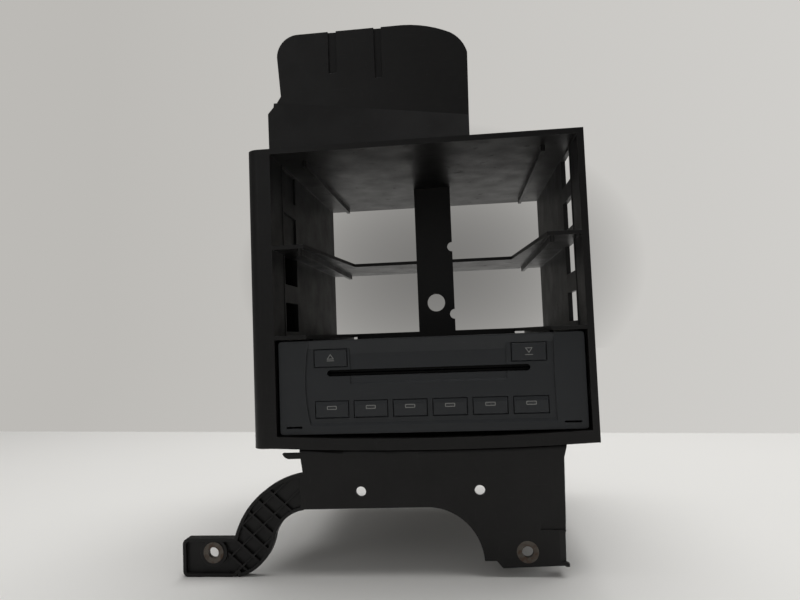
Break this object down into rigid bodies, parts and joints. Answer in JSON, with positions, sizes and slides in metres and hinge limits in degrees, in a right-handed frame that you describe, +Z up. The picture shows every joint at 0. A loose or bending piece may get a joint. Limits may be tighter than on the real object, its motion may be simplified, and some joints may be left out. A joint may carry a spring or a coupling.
{
  "type": "car cd changer",
  "caption": "Slot-loading car disc changer in the lowest bay of a moulded dash carrier with two open bays, a tall top plate, a skirt and a curved bracket arm.",
  "frame": {"origin": "middle of the line between the two steel-bushed bolt holes, on the front plane of the carrier", "axes": "+X to the right seen from the front, +Y into the dash (the face looks along -Y), +Z up"},
  "size_m": [0.2569, 0.19, 0.3442],
  "materials": {
    "acetal_black": "black acetal",
    "belt_rubber": "black toothed rubber",
    "black_screw": "black-coated steel screw",
    "board_green": "green solder-masked board",
    "bright_steel": "ground steel",
    "clear_bar": "clear acrylic bar",
    "connector_black": "black connector plastic",
    "damper_rubber": "soft brown-black rubber",
    "dull_steel": "dull plated steel with a slight rust tint",
    "face_charcoal": "fine matt charcoal paint on plastic",
    "felt_black": "black felt",
    "key_charcoal": "matt charcoal painted key with lit symbol",
    "led_yellow": "pale diode body",
    "lens_blue": "lens holder with a blue-tinted lens",
    "mat_rubber": "translucent grey silicone rubber",
    "motor_can": "plated motor can",
    "moulded_black": "satin moulded black plastic with a fine grain",
    "nylon_white": "natural nylon",
    "roller_rubber": "black rubber",
    "spring_steel": "spring steel strip",
    "tray_grey": "dark grey moulded plastic",
    "zinc_sheet": "zinc-coated sheet steel"
  },
  "bodies": {
    "root": {"board_screws": "black_screw", "carrier": "moulded_black", "chassis_tray": "zinc_sheet", "cover_screws": "black_screw", "deck_dampers": "damper_rubber", "disc_guide": "acetal_black", "fascia": "face_charcoal", "front_board": "board_green", "gear_plate": "zinc_sheet", "guide_rod": "bright_steel", "idler_pin": "bright_steel", "indicator_leds": "led_yellow", "keypad_mat": "mat_rubber", "lift_motor": "motor_can", "lift_motor_bracket": "zinc_sheet", "light_guide": "clear_bar", "load_motor": "motor_can", "main_board": "board_green", "mounting_bushes": "dull_steel", "play_deck": "zinc_sheet", "rear_connector": "connector_black", "retaining_springs": "spring_steel", "roller_bushes": "nylon_white", "sled_motor": "motor_can", "slot_felt": "felt_black", "spindle_motor": "motor_can", "timing_belt": "belt_rubber", "top_cover": "zinc_sheet"},
    "eject_button": {"eject_button": "key_charcoal"},
    "load_button": {"load_button": "key_charcoal"},
    "roller": {"roller_shaft": "bright_steel", "roller_rubber": "roller_rubber", "roller_gear": "nylon_white"},
    "idler": {"idler_gear": "nylon_white"},
    "load_pinion": {"load_pinion": "nylon_white"},
    "lift": {"lift_frame": "acetal_black", "disc_tray_1": "tray_grey", "disc_tray_2": "tray_grey", "disc_tray_3": "tray_grey", "disc_tray_4": "tray_grey", "disc_tray_5": "tray_grey", "disc_tray_6": "tray_grey"},
    "lift_pinion": {"lift_pinion": "nylon_white"},
    "turntable": {"turntable": "acetal_black"},
    "sled": {"pickup_sled": "acetal_black"},
    "lens": {"lens": "lens_blue"},
    "lead_screw": {"lead_screw": "bright_steel"},
    "disc_button_1": {"disc_button_1": "key_charcoal"},
    "disc_button_2": {"disc_button_2": "key_charcoal"},
    "disc_button_3": {"disc_button_3": "key_charcoal"},
    "disc_button_4": {"disc_button_4": "key_charcoal"},
    "disc_button_5": {"disc_button_5": "key_charcoal"},
    "disc_button_6": {"disc_button_6": "key_charcoal"},
    "lift_spindle_1": {"lift_spindle_1": "nylon_white"},
    "lift_spindle_2": {"lift_spindle_2": "nylon_white"},
    "lift_spindle_3": {"lift_spindle_3": "nylon_white"},
    "lift_spindle_4": {"lift_spindle_4": "nylon_white"}
  },
  "joints": [
    {"name": "eject_press", "type": "slide", "parent": "root", "child": "eject_button", "axis": [0, 1, 0], "range_m": [0, 0.001], "stiffness_N_per_m": 400},
    {"name": "load_press", "type": "slide", "parent": "root", "child": "load_button", "axis": [0, 1, 0], "range_m": [0, 0.001], "stiffness_N_per_m": 400},
    {"name": "disc_1_press", "type": "slide", "parent": "root", "child": "disc_button_1", "axis": [0, 1, 0], "range_m": [0, 0.0008], "stiffness_N_per_m": 400},
    {"name": "disc_2_press", "type": "slide", "parent": "root", "child": "disc_button_2", "axis": [0, 1, 0], "range_m": [0, 0.0008], "stiffness_N_per_m": 400},
    {"name": "disc_3_press", "type": "slide", "parent": "root", "child": "disc_button_3", "axis": [0, 1, 0], "range_m": [0, 0.0008], "stiffness_N_per_m": 400},
    {"name": "disc_4_press", "type": "slide", "parent": "root", "child": "disc_button_4", "axis": [0, 1, 0], "range_m": [0, 0.0008], "stiffness_N_per_m": 400},
    {"name": "disc_5_press", "type": "slide", "parent": "root", "child": "disc_button_5", "axis": [0, 1, 0], "range_m": [0, 0.0008], "stiffness_N_per_m": 400},
    {"name": "disc_6_press", "type": "slide", "parent": "root", "child": "disc_button_6", "axis": [0, 1, 0], "range_m": [0, 0.0008], "stiffness_N_per_m": 400},
    {"name": "roller_spin", "type": "hinge", "parent": "root", "child": "roller", "pos_m": [0.04165, 0.03, 0.1029], "axis": [1, 0, 0], "continuous": true},
    {"name": "idler_spin", "type": "hinge", "parent": "root", "child": "idler", "pos_m": [0.12165, 0.03601, 0.08807], "axis": [1, 0, 0], "continuous": true},
    {"name": "load_pinion_spin", "type": "hinge", "parent": "root", "child": "load_pinion", "pos_m": [0.12165, 0.025, 0.08328], "axis": [1, 0, 0], "continuous": true},
    {"name": "lift_slide", "type": "slide", "parent": "root", "child": "lift", "axis": [0, 0, 1], "range_m": [0, 0.014]},
    {"name": "lift_spindle_1_turn", "type": "hinge", "parent": "root", "child": "lift_spindle_1", "pos_m": [-0.02835, 0.054, 0.0996], "axis": [0, 0, 1], "range_deg": [-5, 365]},
    {"name": "lift_spindle_2_turn", "type": "hinge", "parent": "root", "child": "lift_spindle_2", "pos_m": [0.11165, 0.054, 0.0996], "axis": [0, 0, 1], "range_deg": [-5, 365]},
    {"name": "lift_spindle_3_turn", "type": "hinge", "parent": "root", "child": "lift_spindle_3", "pos_m": [-0.02835, 0.162, 0.0996], "axis": [0, 0, 1], "range_deg": [-5, 365]},
    {"name": "lift_spindle_4_turn", "type": "hinge", "parent": "root", "child": "lift_spindle_4", "pos_m": [0.11165, 0.162, 0.0996], "axis": [0, 0, 1], "range_deg": [-5, 365]},
    {"name": "lift_pinion_turn", "type": "hinge", "parent": "root", "child": "lift_pinion", "pos_m": [-0.03196, 0.04256, 0.0996], "axis": [0, 0, 1], "range_deg": [-545, 5]},
    {"name": "turntable_spin", "type": "hinge", "parent": "root", "child": "turntable", "pos_m": [0.04165, 0.108, 0.0811], "axis": [0, 0, 1], "continuous": true},
    {"name": "sled_slide", "type": "slide", "parent": "root", "child": "sled", "axis": [1, 0, 0], "range_m": [0, 0.028]},
    {"name": "lead_screw_turn", "type": "hinge", "parent": "root", "child": "lead_screw", "pos_m": [0.05765, 0.126, 0.0856], "axis": [1, 0, 0], "range_deg": [-10, 2530]},
    {"name": "lens_focus", "type": "slide", "parent": "sled", "child": "lens", "axis": [0, 0, 1], "range_m": [-0.0004, 0.0004], "stiffness_N_per_m": 60}
  ],
  "couplings": [
    {"joint": "idler_spin", "follows": "roller_spin", "ratio": -1},
    {"joint": "load_pinion_spin", "follows": "roller_spin", "ratio": 2},
    {"joint": "lift_spindle_1_turn", "follows": "lift_slide", "rad_per_m": 448.8},
    {"joint": "lift_spindle_2_turn", "follows": "lift_slide", "rad_per_m": 448.8},
    {"joint": "lift_spindle_3_turn", "follows": "lift_slide", "rad_per_m": 448.8},
    {"joint": "lift_spindle_4_turn", "follows": "lift_slide", "rad_per_m": 448.8},
    {"joint": "lift_pinion_turn", "follows": "lift_slide", "rad_per_m": -673.2},
    {"joint": "lead_screw_turn", "follows": "sled_slide", "rad_per_m": 1570.8}
  ]
}
